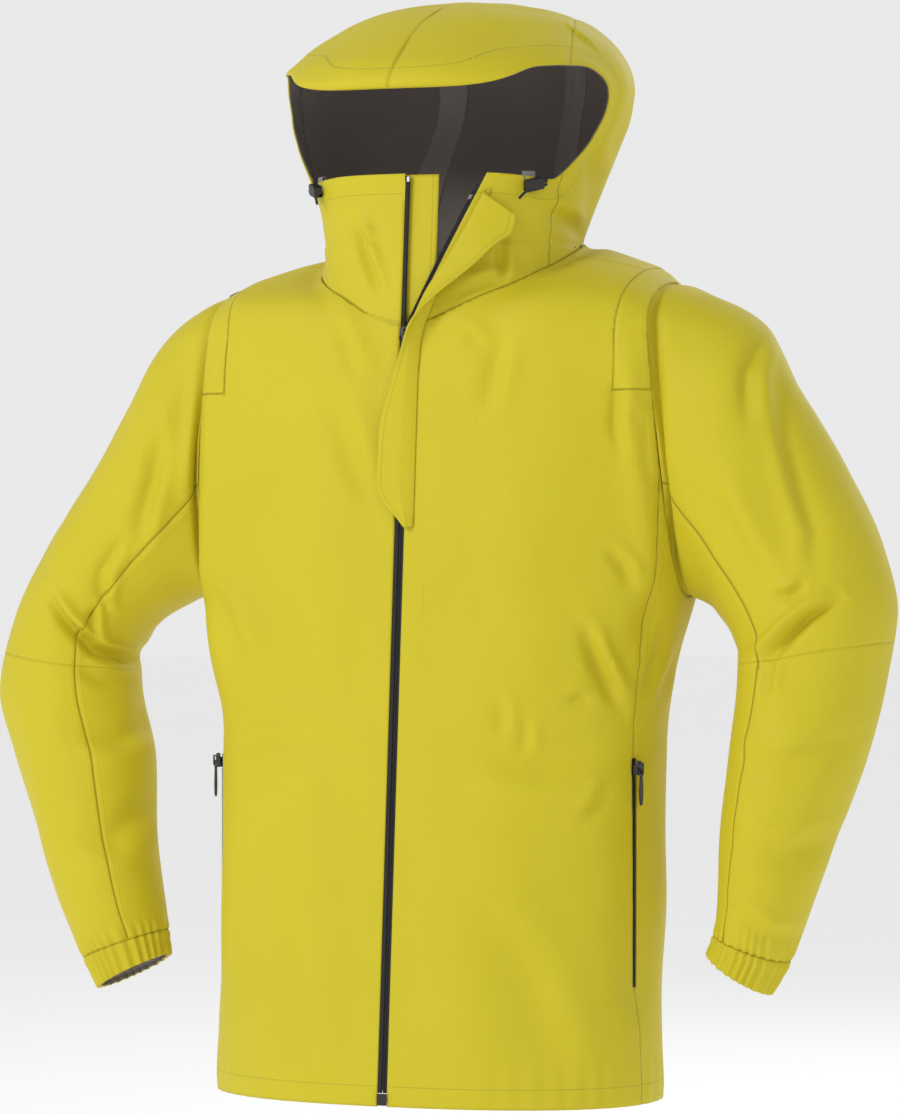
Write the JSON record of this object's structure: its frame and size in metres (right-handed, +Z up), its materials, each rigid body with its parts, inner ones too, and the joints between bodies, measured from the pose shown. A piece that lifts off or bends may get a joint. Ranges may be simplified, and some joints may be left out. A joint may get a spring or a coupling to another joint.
{
  "type": "hardshell jacket",
  "caption": "Hooded waterproof shell jacket with a full front zip, storm flap, two zipped hand pockets, elasticated cuffs and cord locks on the hood.",
  "frame": {"origin": "middle of the flat face under the doubled top of the hang loop, inside the back of the neck", "axes": "+Z up, -Y the front of the jacket, +X the wearer's left"},
  "size_m": [0.8714, 0.318, 0.999],
  "materials": {
    "shell": "matte coated ripstop, mustard yellow",
    "lining": "dark grey-brown laminate, slight sheen",
    "trim": "black moulded plastic, tape and coil",
    "webbing": "grey woven tape",
    "metal": "plain plated metal"
  },
  "bodies": {
    "jacket": {"front_panel_left": "shell", "front_panel_right": "shell", "side_panel_left": "shell", "side_panel_right": "shell", "shoulder_panel_left": "shell", "shoulder_panel_right": "shell", "back_panel": "shell", "hood_centre_panel": "shell", "hood_side_panel_left": "shell", "hood_side_panel_right": "shell", "collar_front_left": "shell", "collar_front_right": "shell", "inner_flap": "shell", "storm_flap": "shell", "hem_facing": "lining", "face_facing": "lining", "pocket_bag_left": "lining", "pocket_bag_right": "lining", "crown_seam_tape_left": "lining", "crown_seam_tape_right": "lining", "brim_stiffener": "trim", "hang_loop": "trim", "zip_tape_right": "trim", "zip_tape_left": "trim", "zip_coil_right": "trim", "zip_coil_left": "trim", "zip_retainer_box": "trim", "pocket_zip_tape_left": "trim", "pocket_zip_tape_right": "trim", "pocket_zip_coil_left": "trim", "pocket_zip_coil_right": "trim", "cord_lock_body_left": "trim", "cord_lock_body_right": "trim", "hood_cord_left": "trim", "hood_cord_right": "trim", "cord_lock_tab_left": "webbing", "cord_lock_tab_right": "webbing", "top_stop_right": "metal", "top_stop_left": "metal", "cord_lock_spring_left": "metal", "cord_lock_spring_right": "metal"},
    "left_sleeve": {"sleeve_outer_left": "shell", "sleeve_under_left": "shell", "cuff_band_left": "shell", "cuff_elastic_left": "webbing"},
    "left_pocket_slider": {"pocket_zip_slider_left": "metal"},
    "left_pocket_pull": {"pocket_zip_pull_left": "trim"},
    "left_lock_plunger": {"cord_lock_plunger_left": "trim"},
    "right_sleeve": {"sleeve_outer_right": "shell", "sleeve_under_right": "shell", "cuff_band_right": "shell", "cuff_elastic_right": "webbing"},
    "right_pocket_slider": {"pocket_zip_slider_right": "metal"},
    "right_pocket_pull": {"pocket_zip_pull_right": "trim"},
    "right_lock_plunger": {"cord_lock_plunger_right": "trim"},
    "main_slider": {"main_zip_slider": "metal"},
    "main_pull": {"main_zip_pull": "trim"}
  },
  "joints": [
    {"name": "main_zip_slide", "type": "slide", "parent": "jacket", "child": "main_slider", "axis": [0, 0.0797, 0.9968], "range_m": [-0.67, 0]},
    {"name": "main_pull_swing", "type": "hinge", "parent": "main_slider", "child": "main_pull", "pos_m": [0, -0.2082, -0.0859], "axis": [0, -0.9968, 0.0797], "range_deg": [-60, 8]},
    {"name": "left_pocket_zip_slide", "type": "slide", "parent": "jacket", "child": "left_pocket_slider", "axis": [0, 0, 1], "range_m": [-0.17, 0]},
    {"name": "left_pocket_pull_swing", "type": "hinge", "parent": "left_pocket_slider", "child": "left_pocket_pull", "pos_m": [0.2091, -0.1567, -0.476], "axis": [0.9866, -0.1629, 0], "range_deg": [-60, 60]},
    {"name": "left_cord_lock_press", "type": "slide", "parent": "jacket", "child": "left_lock_plunger", "axis": [-0.6346, -0.734, -0.2419], "range_m": [0, 0.003], "stiffness_N_per_m": 300},
    {"name": "left_sleeve_swing", "type": "hinge", "parent": "jacket", "child": "left_sleeve", "pos_m": [0.2245, -0.1064, -0.1786], "axis": [0.9966, 0, 0.0819], "range_deg": [-45, 25]},
    {"name": "right_pocket_zip_slide", "type": "slide", "parent": "jacket", "child": "right_pocket_slider", "axis": [0, 0, 1], "range_m": [-0.17, 0]},
    {"name": "right_pocket_pull_swing", "type": "hinge", "parent": "right_pocket_slider", "child": "right_pocket_pull", "pos_m": [-0.2091, -0.1567, -0.476], "axis": [-0.9866, -0.1629, 0], "range_deg": [-60, 60]},
    {"name": "right_cord_lock_press", "type": "slide", "parent": "jacket", "child": "right_lock_plunger", "axis": [0.6346, -0.734, -0.2419], "range_m": [0, 0.003], "stiffness_N_per_m": 300},
    {"name": "right_sleeve_swing", "type": "hinge", "parent": "jacket", "child": "right_sleeve", "pos_m": [-0.2245, -0.1064, -0.1786], "axis": [0.9966, 0, -0.0819], "range_deg": [-45, 25]}
  ]
}
